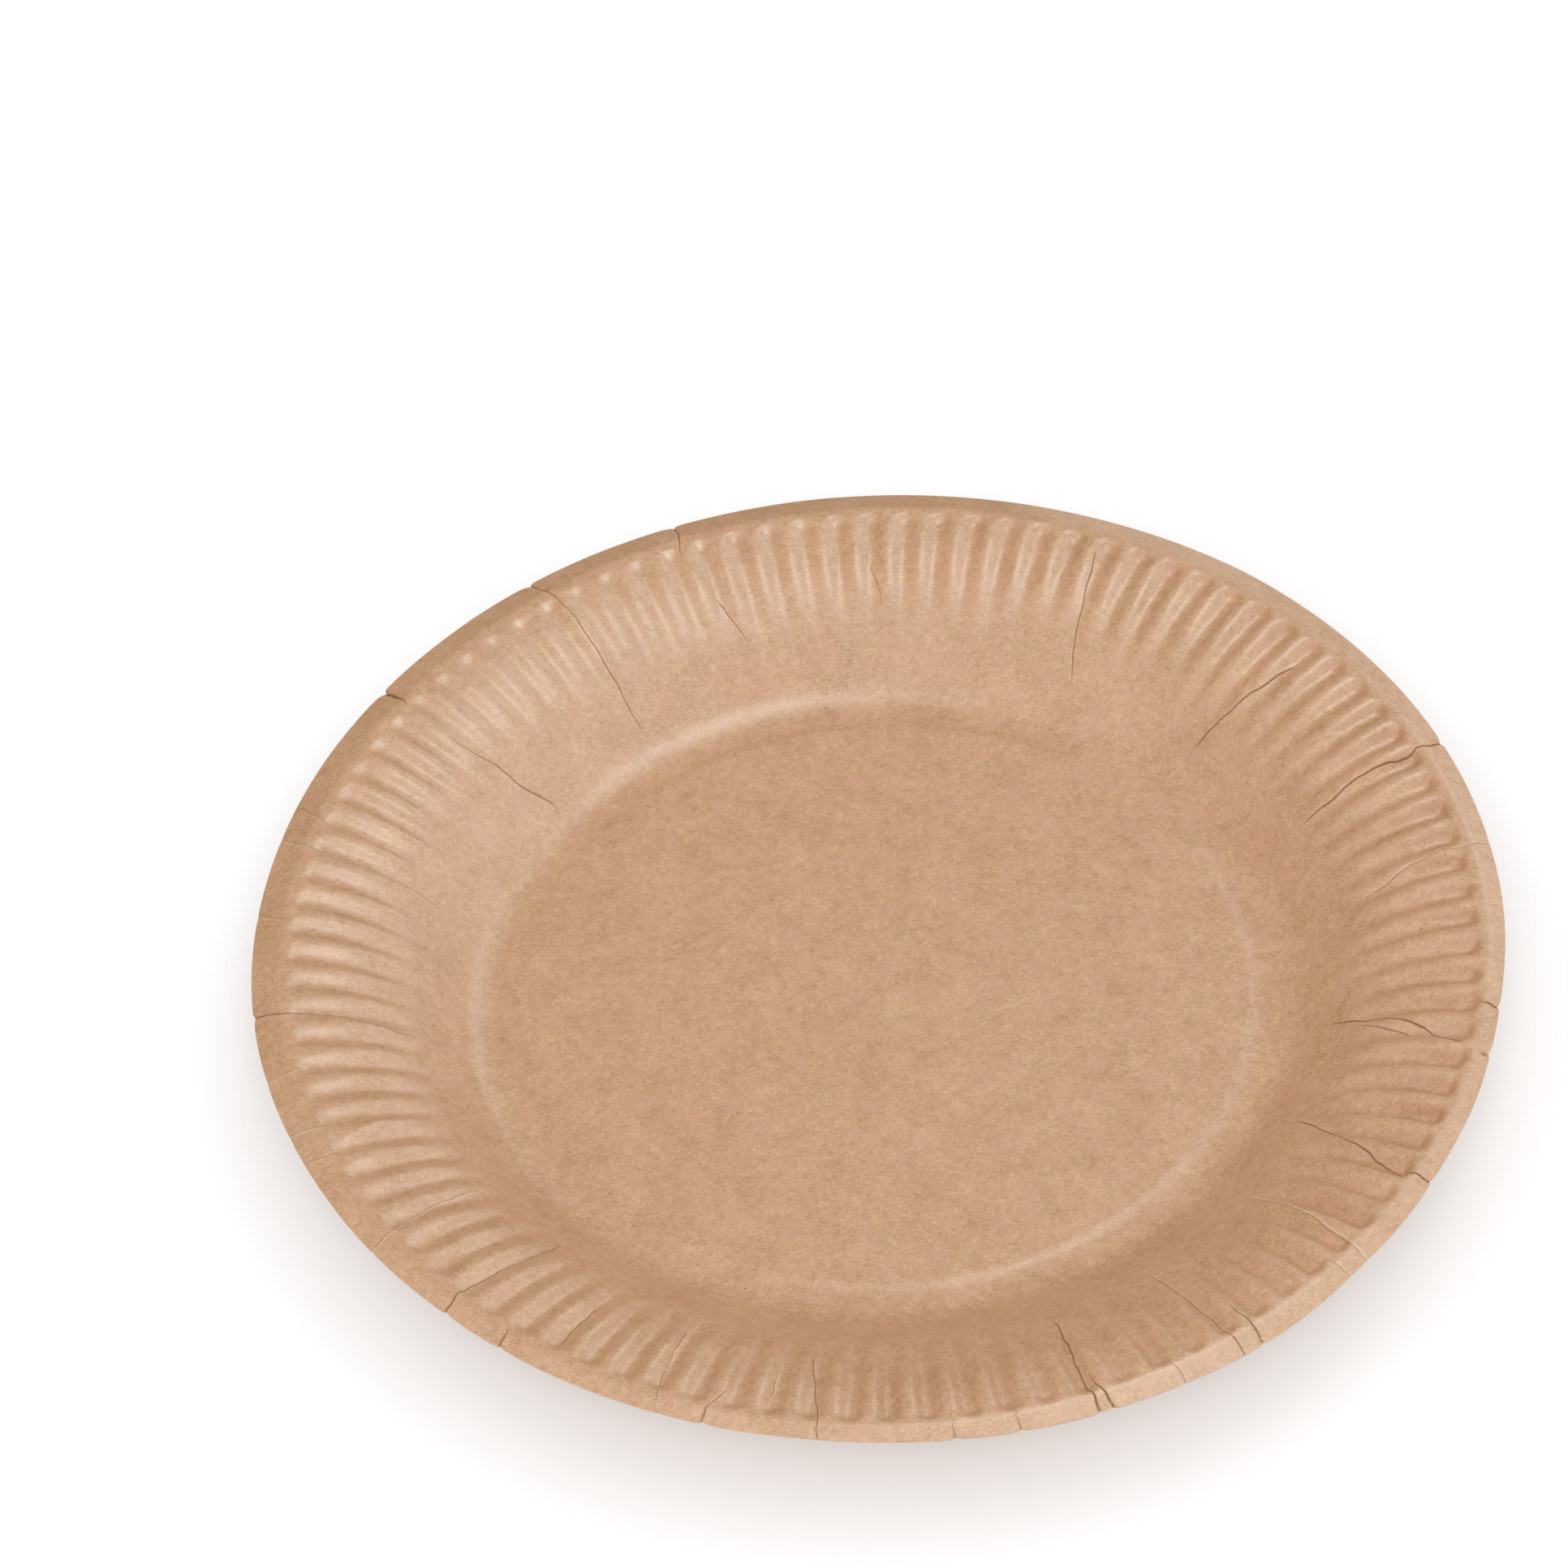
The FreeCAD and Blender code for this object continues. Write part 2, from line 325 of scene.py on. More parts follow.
@dataclass(frozen=True)
class Crease:
    """One place where the surplus board folded or cracked.

    It runs from the lip inward through points of (radius, azimuth in degrees). A positive lift
    raises the side with the greater azimuth over the other, a negative one the other side. The
    gape is the half width of its dark line and the mouth the same on the lip. The dark line is
    painted shade in the groove, together with the darker board of the open crack. A guide has the
    points that its line would pass if it ran on past its ends, and the gap is the radius and half
    length of a stretch where the board didn't break. A crease that starts past the lip's radius
    runs on to the edge. The meridians follow it as far as the first of the holds past its ends and
    let go of it by the second. The pale line beside it, on the raised side, is a painted highlight;
    the highlight line has that line's distance from the crease, for a usual gape, and its half
    width.
    """

    points: Pairs
    depth: float
    lift: float
    width: float
    # strengths of the painted shade, with the crack's dark, and of the painted highlight
    dark: float
    pale: float
    notch: float = 0.0
    mark: Mark = Mark.FOLD
    gape: float = 0.12
    mouth: float = 0.12
    guide: Pairs = ()
    gap: Pair = (0.0, 1.0)
    wobble: float = 0.07
    inner_fade: float = 2.0
    outer_fade: float = 0.7
    lip: float = 111.0
    holds: Pair = (2.0, 10.0)
    slope: float = 0.9
    # offset and half width of the painted highlight beside the crease
    highlight_line: Pair = (0.22, 0.14)
    usual_gape: float = 0.12
    mouth_start: float = 106.0
    mouth_run: float = 4.0

    def line(self, radius: Array) -> Array:
        """Azimuth of the crease at each radius: straight between its points, with a slight wobble.

        The wobble is the sum of two sines of the radius, and each crease starts them elsewhere.
        """
        path = np.array(sorted(self.points + self.guide))
        start = path[0, 1]
        wobble = np.sin(radius * 0.9 + start) + 0.6 * np.sin(radius * 1.9 + 2.3 * start)
        return np.interp(radius, path[:, 0], path[:, 1]) + self.wobble * wobble

    def presence(self, radius: Array) -> Array:
        """Strength along the crease: 1 on it, fading in an S-curve past its ends."""
        path = np.array(sorted(self.points))
        low, high = path[0, 0], path[-1, 0]
        inner = np.clip((radius - low + self.inner_fade) / (2 * self.inner_fade), 0, 1)
        outer = np.clip((high + self.outer_fade - radius) / (2 * self.outer_fade), 0, 1)
        outer = outer if high < self.lip else np.ones_like(radius)
        whole = np.exp(-(((radius - self.gap[0]) / self.gap[1]) ** 4))
        return ease(inner) * outer * (1 - whole)

    def hold(self, radius: Array) -> Array:
        """How far the meridians follow the crease: 1 along it, falling to 0 past its ends."""
        near, far = self.holds
        inner = np.clip((radius - min(self.points)[0] + far) / (far - near), 0, 1)
        outer = np.clip((max(self.points)[0] + far - radius) / (far - near), 0, 1)
        return inner * outer

    def across(self, radius: Array, azimuth: Array) -> Array:
        """Distance from the crease round the plate, positive towards greater azimuths."""
        turn = (azimuth - self.line(radius) + 180.0) % 360.0 - 180.0
        return np.radians(turn) * radius

    def relief(self, radius: Array, azimuth: Array) -> Array:
        """Height that the crease adds.

        A fold is a bell-shaped groove beside a step that dies away as one over e to the distance
        over the slope. A buckle is a bell-shaped swelling.

        Args:
            radius: radii, as an array of rings by meridians.
            azimuth: azimuths in the same shape.

        Returns:
            Heights, negative in the groove.
        """
        off = self.across(radius, azimuth)
        here = self.presence(radius)
        if self.mark is Mark.BUCKLE:
            return here * self.lift * bell(off, self.width)
        raised = off * math.copysign(1.0, self.lift) >= -ON_LINE
        step = abs(self.lift) * np.where(raised, np.exp(-np.abs(off) / self.slope), 0)
        return here * (step - self.depth * bell(off, self.width))

    def shade(self, radius: Array, azimuth: Array) -> tuple[Array, Array]:
        """Painted shade in the groove, with the dark of the open crack, and a painted highlight on
        the raised edge beside it, each a bell across it.
        """
        off = self.across(radius, azimuth)
        here = self.presence(radius)
        # the painted highlight lies on the raised side
        side, width = math.copysign(self.highlight_line[0], self.lift), self.highlight_line[1]
        share = np.clip((radius - self.mouth_start) / self.mouth_run, 0, 1)
        opened = self.gape + (self.mouth - self.gape) * share
        pale = self.pale * bell(off - side * opened / self.usual_gape, width)
        return here * (self.dark * bell(off, opened)), here * pale


def fold(
    *points: Pair, strength: float = 1.0, lift: float = 0.09, mouth: float = 0.17,
    gap: Pair = Crease.gap,
) -> Crease:
    """A deep fold, dark along its crack with painted shade, and notched where it meets the edge.

    Args:
        points: (radius, azimuth) from the lip inward.
        strength: depth and darkness against the usual ones.
        lift: height of the raised side.
        mouth: half width of the crack on the lip.
        gap: radius and half length of a stretch that didn't break.

    Returns:
        The crease.
    """
    notch = 3.0 * mouth if max(points)[0] > Crease.lip else 0.0
    return Crease(
        points, depth=0.13 * strength, lift=lift, width=0.12, dark=0.8 * strength, pale=0.15,
        notch=notch, gape=0.11, mouth=mouth, gap=gap,
    )


def hairline(*points: Pair, strength: float = 1.0, guide: Pairs = ()) -> Crease:
    """A fine crack, barely open, with a line of painted shade. A guide has the points where its
    line would run on.
    """
    return Crease(
        points, depth=0.06 * strength, lift=0.03, width=0.1, dark=0.6 * strength, pale=0.2,
        guide=guide,
    )


def pale_highlight(*points: Pair, strength: float = 1.0, lift: float = 0.07) -> Crease:
    """A fold whose raised edge carries a strong painted highlight. The strength is that of the
    highlight.
    """
    return Crease(
        points, depth=0.06, lift=lift, width=0.12, dark=0.35, pale=0.6 * strength, notch=0.12
    )


def buckle(*points: Pair) -> Crease:
    """A soft swelling along those points of (radius, azimuth)."""
    return Crease(points, depth=0.0, lift=0.32, width=1.1, dark=0.0, pale=0.0, mark=Mark.BUCKLE)


def press_marks() -> tuple[Crease, ...]:
    """Every crease of the plate, in order of azimuth."""
    return (
        pale_highlight((108.5, 359.4), (106.9, 359.5), strength=0.6, lift=0.03),
        pale_highlight((112.2, 4.8), (105.5, 4.2), (103.8, 4.5), (95.2, 3.6), (89.0, 2.5), strength=0.6),
        fold((113.0, 18.3), (110.9, 18.1), (105.7, 17.9), (96.6, 18.3), (91.3, 17.9), (85.1, 17.7)),
        pale_highlight((109.6, 23.0), (107.8, 23.2), strength=0.6, lift=0.03),
        fold((102.0, 35.3), (95.1, 36.0), (87.9, 37.2), (80.4, 38.4)),
        hairline((104.2, 61.9), (94.3, 61.1), (86.1, 60.2), (81.5, 58.9)),
        fold((96.4, 86.7), (89.6, 85.5), strength=0.7),
        fold((112.4, 106.3), (105.3, 107.2), strength=0.8, lift=0.05, mouth=0.22),
        fold((94.2, 105.4), (86.2, 103.3), strength=0.8),
        fold(
            (117.3, 122.2), (113.0, 122.1), (102.9, 121.3), (90.9, 121.4), (79.2, 121.6),
            strength=0.75, lift=0.05, mouth=0.26,
        ),
        fold(
            (115.9, 141.5), (112.5, 141.7), (107.4, 142.4), (94.8, 143.0), (88.2, 141.6),
            (82.2, 141.0), (77.8, 139.2), strength=1.1, lift=0.16, mouth=0.4, gap=(101.5, 7.0),
        ),
        hairline((113.0, 158.1), (108.9, 159.4)),
        pale_highlight(
            (114.2, 162.1), (108.0, 163.5), (97.3, 163.8), (89.4, 163.9), (84.1, 164.4),
            strength=0.7,
        ),
        pale_highlight((113.7, 171.8), (109.0, 172.8), strength=0.7, lift=0.06),
        fold((113.5, 184.0), (108.4, 184.7), (105.1, 184.8), (96.1, 185.3), (88.1, 186.4)),
        pale_highlight((112.4, 191.8), (108.2, 191.8), strength=0.8, lift=0.05),
        pale_highlight((112.9, 198.6), (108.0, 199.3), (104.7, 199.9), strength=0.8, lift=0.08),
        buckle((105.4, 201.9), (98.2, 200.4), (90.4, 200.4)),
        hairline((112.7, 202.1), (107.9, 203.1), strength=0.7),
        pale_highlight((112.0, 214.3), (106.9, 213.8), (99.4, 213.0), (89.2, 212.3), strength=0.8),
        fold((112.0, 224.0), (107.9, 223.6), (100.7, 223.9), (91.7, 224.2), (83.9, 224.0)),
        fold((112.0, 230.2), (108.8, 229.9), strength=0.8),
        hairline((106.3, 234.6), (94.5, 234.4)),
        pale_highlight((112.0, 246.0), (107.5, 245.1), (100.4, 244.6), (91.3, 244.2), strength=0.5),
        fold((111.8, 249.9), (108.6, 250.0), (103.8, 251.3), strength=0.7),
        pale_highlight((104.1, 255.2), (96.7, 255.2), strength=0.5, lift=0.05),
        hairline((112.0, 260.0), (108.0, 259.9), (100.2, 259.1), (92.0, 258.2)),
        fold((111.9, 271.6), (109.8, 271.7), strength=0.5),
        fold((111.9, 277.3), (109.6, 277.3), strength=0.5),
        fold((112.6, 284.2), (109.3, 284.3), (105.3, 284.0), (97.8, 284.4), (88.5, 284.8)),
        fold((112.6, 285.5), (109.3, 285.3), (106.1, 284.8), strength=1.1, lift=-0.1),
        pale_highlight((112.0, 292.3), (107.8, 291.9), strength=0.6, lift=0.06),
        hairline((111.3, 298.1), (107.7, 298.0), (100.8, 297.8), (86.5, 297.8)),
        fold((112.0, 300.2), (109.3, 300.2), (103.7, 300.0), strength=0.8),
        pale_highlight((112.0, 310.4), (108.2, 310.4), strength=0.7, lift=0.06),
        pale_highlight((111.2, 312.8), (102.0, 313.4), (95.8, 313.9), (84.8, 314.4)),
        fold((111.8, 323.0), (108.4, 323.0), (105.6, 322.8), (94.9, 324.6), (82.0, 328.5)),
        hairline((96.8, 340.8), (87.0, 343.0), guide=((104.8, 338.2), (109.0, 337.4))),
        fold(
            (111.7, 338.9), (109.0, 338.8), (104.8, 339.6), (97.8, 341.9), (91.4, 343.2),
            (82.0, 345.0), strength=1.1, gap=(108.2, 1.7),
        ),
        fold((111.8, 344.6), (108.1, 344.6), strength=1.15),
        pale_highlight((108.1, 351.2), (106.6, 351.4), strength=0.5, lift=0.03),
    )


@dataclass(frozen=True)
class Warp:
    """The slow bends that the sheet kept after it left the press."""

    rim_lift: float = 0.12
    start: float = 76.0
    rim: float = 115.0
    waves: tuple[tuple[int, float, float], ...] = (
        (2, 0.45, 20.0),
        (3, 0.35, 110.0),
        (5, 0.25, 250.0),
        (9, 0.22, 40.0),
        (17, 0.12, 300.0),
        (31, 0.10, 75.0),
    )

    def swing(self, azimuth: Array) -> Array:
        """A sum of sines round the plate, from about -1 to 1."""
        total = np.zeros_like(azimuth)
        for turns, share, phase in self.waves:
            total = total + share * np.sin(np.radians(turns * azimuth + phase))
        return total

    def lift(self, radius: Array, azimuth: Array) -> Array:
        """Height of the warp: the swing times the square of the way from the corner to the edge."""
        way = np.clip((radius - self.start) / (self.rim - self.start), 0, 1)
        return self.rim_lift * way * way * (self.swing(azimuth) - 1.0)


@dataclass(frozen=True)
class CutEdge:
    """The blank's edge: a circle that the press met a little off its middle."""

    centre: Pair = (-0.50, 1.89)
    radius: float = 113.32
    most: float = 114.94
    fold: float = 109.0
    nominal: float = 115.0
    bulge: Pairs = (
        (0, -0.45), (30, 0.15), (50, 0.55), (75, 0.35), (105, -0.35), (130, -0.25), (160, 0.15),
        (180, 0.45), (210, -0.3), (225, -0.5), (255, -0.2), (285, 0.95), (300, 1.25), (315, 0.35),
        (330, -0.35), (345, -0.9),
    )

    def reach(self, azimuth: Array) -> Array:
        """Distance of the edge from the plate's axis.

        The edge of an off-centre circle: the part of its centre's offset along the ray, plus the
        root of its radius squared less the offset across the ray squared. Slow bulges are added.
        """
        turn = np.radians(azimuth)
        along = self.centre[0] * np.cos(turn) + self.centre[1] * np.sin(turn)
        across = self.centre[1] * np.cos(turn) - self.centre[0] * np.sin(turn)
        circle = along + np.sqrt(self.radius**2 - across**2)
        return np.minimum(circle + around(self.bulge, azimuth), self.most)

    def trim(self, radius: Array, azimuth: Array) -> Array:
        """Radii with those of the lip drawn in, in proportion, to end on the edge."""
        share = (radius - self.fold) / (self.nominal - self.fold)
        return np.where(share > 0, self.fold + share * (self.reach(azimuth) - self.fold), radius)


def blank(owner: bpy.types.ID) -> Nodes:
    """Turns on the nodes of a material or world, clears them and gives the helper for them."""
    owner.use_nodes = True
    owner.node_tree.nodes.clear()
    return Nodes(owner.node_tree)


@dataclass
class Nodes:
    """Short ways to add nodes. A Mix node has its colours on the sockets of these numbers."""

    tree: bpy.types.NodeTree
    mix_inputs: tuple[int, int, int] = (0, 6, 7)
    mix_output: int = 2

    def add(self, kind: str) -> bpy.types.Node:
        """Adds a node of that kind."""
        return self.tree.nodes.new(kind)

    def feed(self, value: object, socket: Socket) -> None:
        """Links a socket, or sets a plain number, place or colour, on the given input."""
        if isinstance(value, Socket):
            self.tree.links.new(value, socket)
        elif isinstance(value, tuple) and socket.type == "RGBA":
            socket.default_value = (*value, 1.0)
        else:
            socket.default_value = value

    def math(self, operation: str, *values: object) -> Socket:
        """A Math node of that operation on the values."""
        node = self.add("ShaderNodeMath")
        node.operation = operation
        for value, socket in zip(values, node.inputs):
            self.feed(value, socket)
        return node.outputs["Value"]

    def about(self, value: Socket, weight: float, middle: float = 0.0) -> Socket:
        """The middle plus the weight times the value less a half."""
        return self.math("MULTIPLY_ADD", value, weight, middle - weight / 2)

    def clamp(self, value: Socket) -> Socket:
        """The value kept between 0 and 1."""
        node = self.add("ShaderNodeClamp")
        self.feed(value, node.inputs["Value"])
        return node.outputs["Result"]

    def mix(self, share: object, first: object, second: object) -> Socket:
        """Two colours mixed by a share of the second."""
        node = self.add("ShaderNodeMix")
        node.data_type = "RGBA"
        for value, index in zip((share, first, second), self.mix_inputs):
            self.feed(value, node.inputs[index])
        return node.outputs[self.mix_output]

    def noise(
        self, place: Socket, scale: float, detail: float = 2.0, rough: float = 0.5,
        bend: float = 0.0, shift: Triple | None = None,
    ) -> Socket:
        """A Noise texture.

        Args:
            place: the coordinates it reads.
            scale: features per unit of the coordinates.
            detail: octaves.
            rough: weight of each finer octave.
            bend: distortion of the coordinates.
            shift: an offset of the coordinates, so that two patterns differ.

        Returns:
            A value around 0.5.
        """
        if shift is not None:
            place = self.mapping(place, 0.0, (1.0, 1.0, 1.0), shift)
        node = self.add("ShaderNodeTexNoise")
        names = ("Scale", "Detail", "Roughness", "Distortion", "Vector")
        for name, value in zip(names, (scale, detail, rough, bend, place)):
            self.feed(value, node.inputs[name])
        return node.outputs["Fac"]

    def mapping(
        self, place: Socket, turn: float, scale: Triple, shift: Triple = (0.0, 0.0, 0.0)
    ) -> Socket:
        """Coordinates turned about the plate's axis, scaled and shifted."""
        node = self.add("ShaderNodeMapping")
        node.vector_type = "POINT"
        names = ("Location", "Rotation", "Scale", "Vector")
        for name, value in zip(names, (shift, (0.0, 0.0, turn), scale, place)):
            self.feed(value, node.inputs[name])
        return node.outputs["Vector"]

    def channel(self, colour: Socket) -> Socket:
        """The red channel of a colour."""
        node = self.add("ShaderNodeSeparateColor")
        self.feed(colour, node.inputs["Color"])
        return node.outputs["Red"]

    def attribute(self, name: str) -> Socket:
        """A number stored on the plate's own points."""
        node = self.add("ShaderNodeAttribute")
        node.attribute_type = "GEOMETRY"
        node.attribute_name = name
        return node.outputs["Fac"]


@dataclass(frozen=True)
class BoardFinish:
    """Unbleached brown paperboard: felted fibres, cloudy, with a calendered satin face."""

    name: str = "brown_board"
    light: Triple = (0.690, 0.425, 0.245)
    deep: Triple = (0.385, 0.197, 0.078)
    pink: Triple = (0.595, 0.318, 0.210)
    # colour of the painted shade in the creases, with the darker board of open cracks
    crack_and_shade: Triple = (0.17, 0.055, 0.012)
    # colour of the painted highlights at the flutes' ends and on the creases' raised edges
    pale_highlight: Triple = (0.82, 0.64, 0.47)
    speck: Triple = (0.16, 0.085, 0.05)
    roughness: float = 0.34
    specular: float = 0.36
    dark_line_gloss: float = 0.03
    tone: float = 0.52
    bump_share: float = 0.35
    bump_height: float = 0.00006
    fibre_turns: tuple[float, ...] = (28.0, 88.0, 147.0)
    speck_layers: tuple[Triple, ...] = ((25.0, 95.0, 0.026), (110.0, 150.0, 0.03))

    def material(self) -> bpy.types.Material:
        """Builds the node material.

        The tone is its middle plus each pattern less a half, times the pattern's weight. Painted
        shade along the creases and painted highlights at the flutes' ends and the creases' raised
        edges are mixed in from the plate's attributes. Gloss goes where a crack is open.

        Returns:
            A material on Object coordinates and the plate's own attributes of painted shade and
            painted highlight.
        """
        mat = bpy.data.materials.new(self.name)
        kit = blank(mat)
        place = kit.add("ShaderNodeTexCoord").outputs["Object"]
        clouds = kit.noise(place, 110.0, detail=3.0, rough=0.55)
        mottle = kit.noise(place, 620.0, detail=3.0, rough=0.62)
        grain = kit.noise(place, 2300.0, detail=1.0, rough=0.5)
        tint = kit.noise(place, 240.0, detail=3.0, rough=0.6, shift=(0.31, 0.12, 0.57))
        fibres = self.fibres(kit, place)
        tone = kit.about(clouds, 0.6, self.tone)
        for pattern, weight in ((mottle, 0.85), (grain, 0.7), (fibres, 0.6)):
            tone = kit.math("ADD", tone, kit.about(pattern, weight))
        body = kit.mix(kit.clamp(tone), self.deep, self.light)
        warm = kit.clamp(kit.math("MULTIPLY_ADD", tint, 3.2, -1.3))
        body = kit.mix(kit.math("MULTIPLY", warm, 0.5), body, self.pink)
        body = kit.mix(self.specks(kit, place), body, self.speck)
        # painted shade of the creases' grooves, with the darker board of open cracks, read from the
        # plate
        dark = kit.attribute("crack_and_shade")
        # painted highlights at the flutes' ends and on the creases' raised edges
        body = kit.mix(kit.clamp(kit.attribute("pale_highlight")), body, self.pale_highlight)
        # painted shade and crack colour laid over the board
        body = kit.mix(kit.clamp(dark), body, self.crack_and_shade)
        shader = kit.add("ShaderNodeBsdfPrincipled")
        kit.feed(body, shader.inputs["Base Color"])
        kit.feed(kit.about(mottle, 0.16, self.roughness), shader.inputs["Roughness"])
        # less gloss along the creases' painted dark line
        dark_line = kit.clamp(kit.math("MULTIPLY", dark, 2.5))
        lost = (self.dark_line_gloss - 1.0) * self.specular
        gloss = kit.math("MULTIPLY_ADD", dark_line, lost, self.specular)
        kit.feed(gloss, shader.inputs["Specular IOR Level"])
        nap = kit.math("ADD", kit.math("MULTIPLY", mottle, 0.6), kit.math("MULTIPLY", fibres, 0.5))
        bump = kit.add("ShaderNodeBump")
        kit.feed(self.bump_share, bump.inputs["Strength"])
        kit.feed(self.bump_height, bump.inputs["Distance"])
        kit.feed(nap, bump.inputs["Height"])
        kit.feed(bump.outputs["Normal"], shader.inputs["Normal"])
        kit.feed(shader.outputs["BSDF"], kit.add("ShaderNodeOutputMaterial").inputs["Surface"])
        return mat

    def fibres(self, kit: Nodes, place: Socket) -> Socket:
        """Felted fibres, from 0 to 1: long thin grains, each turned from the last, added up."""
        total = None
        for turn in self.fibre_turns:
            laid = kit.mapping(place, math.radians(turn), (900.0, 2700.0, 1500.0))
            grain = kit.noise(laid, 1.0, detail=2.0, rough=0.6, bend=0.7)
            total = grain if total is None else kit.math("ADD", total, grain)
        return kit.clamp(kit.math("MULTIPLY_ADD", total, 0.9, -0.85))

    def specks(self, kit: Nodes, place: Socket) -> Socket:
        """Sparse dark slivers of bark: cells whose point is close, kept in a few cells only.

        Each layer has its turn in degrees, its cells to the metre and the slivers' share of a cell.
        """
        total = None
        for turn, scale, size in self.speck_layers:
            laid = kit.mapping(place, math.radians(turn), (1.0, 2.1, 1.6))
            cells = kit.add("ShaderNodeTexVoronoi")
            kit.feed(scale, cells.inputs["Scale"])
            kit.feed(laid, cells.inputs["Vector"])
            near = kit.math("LESS_THAN", cells.outputs["Distance"], size)
            kept = kit.math("GREATER_THAN", kit.channel(cells.outputs["Color"]), 0.62)
            mask = kit.math("MULTIPLY", kit.math("MULTIPLY", near, kept), 0.8)
            total = mask if total is None else kit.math("MAXIMUM", total, mask)
        return total


@dataclass
class Plate:
    """The pressed board plate, worked out on rings by meridians and closed round its edge.

    Reach is how far in degrees a bundle of meridians goes to each side of its crease, at the middle
    radius, and hair the least way between two meridians.
    """

    section: Section = field(default_factory=Section)
    flutes: Flutes = field(default_factory=Flutes)
    warp: Warp = field(default_factory=Warp)
    edge: CutEdge = field(default_factory=CutEdge)
    finish: BoardFinish = field(default_factory=BoardFinish)
    creases: tuple[Crease, ...] = field(default_factory=press_marks)
    even_meridians: int = 1200
    middle: float = 100.0
    hair: float = 0.002
    least_gap: float = 0.02
    reach: float = 0.6
    nudge: float = 0.05
    under_share: float = 0.6
    notch_run: float = 2.2
    notch_sides: Pair = (0.9, 0.3)
    sharp_angle: float = 62.0
    crease_meridians: tuple[float, ...] = (-0.85, -0.42, -0.22, -0.1, 0.0, 0.1, 0.22, 0.42, 0.85)

    def meridians(self) -> Array:
        """Even meridians, with a close bundle in place of those on each crease.

        Returns:
            Their parameters in degrees, ascending, a multiple of 4 of them.
        """
        anchors = self.anchors()
        even = np.arange(self.even_meridians) * (360.0 / self.even_meridians)
        gap = np.abs((even[:, None] - anchors[None, :] + 180.0) % 360.0 - 180.0).min(axis=1)
        bundle = anchors[:, None] + np.degrees(np.array(self.crease_meridians) / self.middle)
        both = np.sort(np.concatenate([even[gap > self.reach], bundle.ravel() % 360.0]))
        both = both[np.concatenate([[True], np.diff(both) > self.least_gap])]
        return both[: len(both) - len(both) % 4]

    def middle_azimuth(self, crease: Crease) -> float:
        """Azimuth of a crease at the middle radius."""
        return crease.line(np.array([self.middle]))[0] % 360.0

    def anchors(self) -> Array:
        """The middle azimuth of each crease, ascending, and pushed on where two are too close."""
        middles = np.sort([self.middle_azimuth(crease) for crease in self.creases])
        apart = np.arange(len(middles)) * 2 * self.reach
        return np.maximum.accumulate(middles - apart) + apart

    def azimuths(self, radius: Array) -> Array:
        """Bends the meridians so that each bundle stays on its crease.

        At each radius the parameter is moved by straight interpolation between the creases, whose
        azimuths are kept in ascending order. Past the ends of a crease they go back to its anchor.
        Meridians that would meet are kept a hair apart.

        Args:
            radius: the rings' radii.

        Returns:
            Azimuths in degrees, rings by meridians.
        """
        ordered = sorted(self.creases, key=self.middle_azimuth)
        anchors = self.anchors()
        lines = np.stack([crease.line(radius) % 360.0 for crease in ordered], axis=1)
        hold = np.stack([crease.hold(radius) for crease in ordered], axis=1)
        lines = anchors + (lines - anchors) * hold
        half = np.diff(lines, axis=1, append=lines[:, :1] + 360.0) / 2
        after = np.clip(half, 0, self.reach)
        before = np.roll(after, 1, axis=1)
        knots = np.stack([anchors - self.reach, anchors, anchors + self.reach], axis=1).ravel()
        ends = np.stack([lines - before, lines, lines + after], axis=2).reshape(len(radius), -1)
        ends = np.maximum.accumulate(ends, axis=1)
        knots = np.concatenate([[knots[-1] - 360.0], knots, [knots[0] + 360.0]])
        ends = np.concatenate([ends[:, -1:] - 360.0, ends, ends[:, :1] + 360.0], axis=1)
        spread = np.arange(len(knots)) * TINY
        grid = self.meridians()
        azimuths = np.stack([np.interp(grid, knots + spread, row + spread) for row in ends])
        hairs = np.arange(len(grid)) * self.hair
        return np.maximum.accumulate(azimuths - hairs, axis=1) + hairs

    def height(self, radius: Array, azimuth: Array) -> Array:
        """Height of the eating side without its creases: section, less flutes, plus warp."""
        plain = self.section.crowned(radius) - self.flutes.relief(radius, azimuth)
        return plain + self.warp.lift(radius, azimuth)

    def points(self, radius: Array, azimuth: Array, face: Face) -> Array:
        """Points of one face of the board.

        The upward normal comes from the differences of the height over a short way out and round.
        The under face is the eating face moved back along it by the board's thickness. Creases are
        added last, so that a narrow groove doesn't turn the under face inside out.

        Args:
            radius: radii, as an array of rings by meridians.
            azimuth: azimuths in the same shape.
            face: which face of the board.

        Returns:
            Millimetre positions, rings by meridians by 3.
        """
        level = self.height(radius, azimuth)
        out = radius
        turn = np.radians(azimuth)
        ray = np.stack([np.cos(turn), np.sin(turn)], axis=-1)
        if face is Face.UNDER:
            ahead = self.height(radius + self.nudge, azimuth)
            slope_out = (ahead - self.height(radius - self.nudge, azimuth)) / (2 * self.nudge)
            step = np.degrees(self.nudge / np.maximum(radius, 1.0))
            ahead = self.height(radius, azimuth + step)
            slope_round = (ahead - self.height(radius, azimuth - step)) / (2 * self.nudge)
            long = np.sqrt(1 + slope_out**2 + slope_round**2)
            back = self.section.board / long
            level = level - back
            out = out + back * slope_out
            turn = turn + back * slope_round / np.maximum(radius, 1.0)
            ray = np.stack([np.cos(turn), np.sin(turn)], axis=-1)
        share = 1.0 if face is Face.EATING else self.under_share
        inside = radius - self.edge.reach(azimuth) + self.notch_run
        reach = np.clip(inside / self.notch_run, 0, 1)
        for crease in self.creases:
            level = level + crease.relief(radius, azimuth) * share
            off = crease.across(radius, azimuth)
            near = np.exp(-np.abs(off) / np.where(off * crease.lift >= 0, *self.notch_sides))
            out = out - crease.notch * reach * crease.presence(radius) * near
        limits = (0.0, None) if face is Face.UNDER else (None, self.section.height)
        level = np.clip(level, *limits)
        return np.concatenate([ray * out[..., None], level[..., None]], axis=-1)

